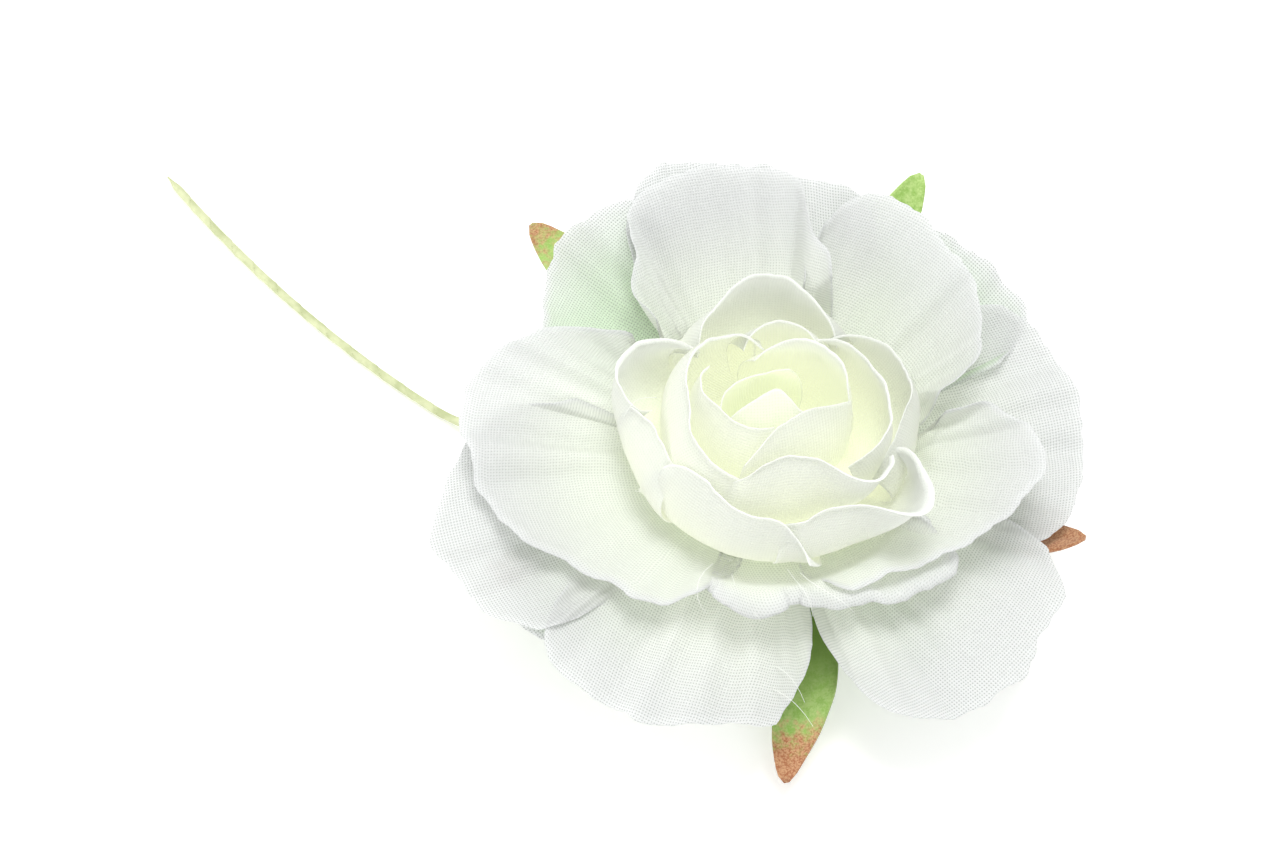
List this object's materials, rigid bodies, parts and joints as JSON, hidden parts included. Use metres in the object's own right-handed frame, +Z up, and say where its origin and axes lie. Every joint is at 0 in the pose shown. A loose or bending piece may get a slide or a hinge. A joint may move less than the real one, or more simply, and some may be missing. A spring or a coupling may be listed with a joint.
{
  "type": "flower hair clip",
  "caption": "White silk rose with green sepals and a bent paper-wrapped wire stem, glued by a felt pad to a sprung alligator clip.",
  "frame": {"origin": "centre line of the bloom, on the flat underside of the lower clip arm", "axes": "+X along the clip to its handles, +Z up out of the bloom, away from the resting surface"},
  "size_m": [0.1282, 0.0975, 0.0342],
  "materials": {
    "clip_steel": "bright nickel plated strip",
    "spring_steel": "drawn spring wire",
    "felt": "ivory wool-mix felt",
    "glue": "hot-melt glue, milky",
    "wire": "annealed steel wire",
    "stem_paper": "pale green crepe paper wrapping",
    "green_plastic": "moulded soft green plastic",
    "sepal_paper": "flocked lime green leaf paper with rust-brown tips",
    "petal_white": "stiffened white polyester weave, mint towards the middle",
    "petal_cream": "stiffened cream polyester weave with white rims",
    "core_plastic": "moulded pale plastic"
  },
  "bodies": {
    "bloom": {"clip_upper_arm": "clip_steel", "pivot_pin": "clip_steel", "torsion_spring": "spring_steel", "felt_pad": "felt", "glue_bead": "glue", "stem_wire": "wire", "stem_wrap": "stem_paper", "calyx_collar": "green_plastic", "sepals": "sepal_paper", "petals_bottom": "petal_white", "petals_lower": "petal_white", "petals_outer": "petal_white", "petals_middle": "petal_cream", "petals_inner": "petal_cream", "petals_heart": "petal_cream", "bud_wrap": "petal_cream", "bud_core": "core_plastic"},
    "lower_jaw": {"clip_lower_arm": "clip_steel"}
  },
  "joints": [
    {"name": "jaw_hinge", "type": "hinge", "parent": "bloom", "child": "lower_jaw", "pos_m": [0.006, 0, 0.0042], "axis": [0, -1, 0], "range_deg": [0, 20], "stiffness_Nm_per_rad": 0.06, "springref_deg": -68.75, "deforming": ["torsion_spring"]}
  ]
}
